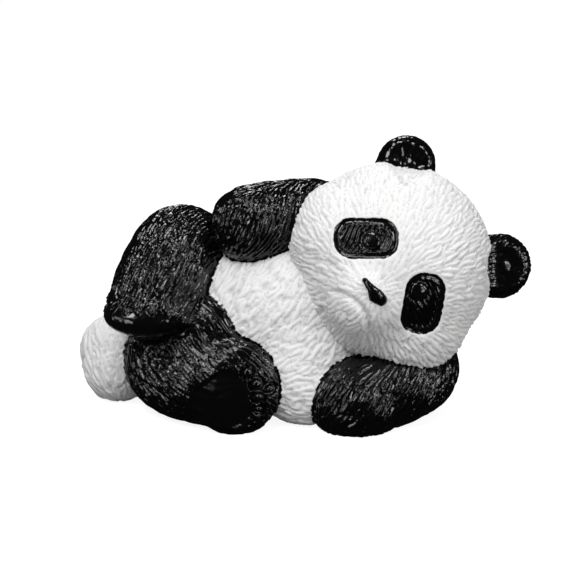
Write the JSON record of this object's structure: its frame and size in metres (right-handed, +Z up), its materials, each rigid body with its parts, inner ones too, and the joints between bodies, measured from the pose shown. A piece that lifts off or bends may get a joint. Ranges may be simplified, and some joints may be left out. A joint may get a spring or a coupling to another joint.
{
  "type": "panda figurine",
  "caption": "Cast panda cub figurine lying on its side with its head on one arm, round ears, furry carved body and a flat underside to stand on.",
  "frame": {"origin": "middle of the underside, under the centre of the bounding box", "axes": "+Z up, the face looks along -Y, the tail lies at -X and the head at +X"},
  "size_m": [0.06, 0.0312, 0.0359],
  "materials": {
    "painted_vinyl": "matte white, with glossy black paint on the limbs, ears, eye patches and nose"
  },
  "bodies": {
    "root": {"panda": "painted_vinyl"}
  },
  "joints": []
}
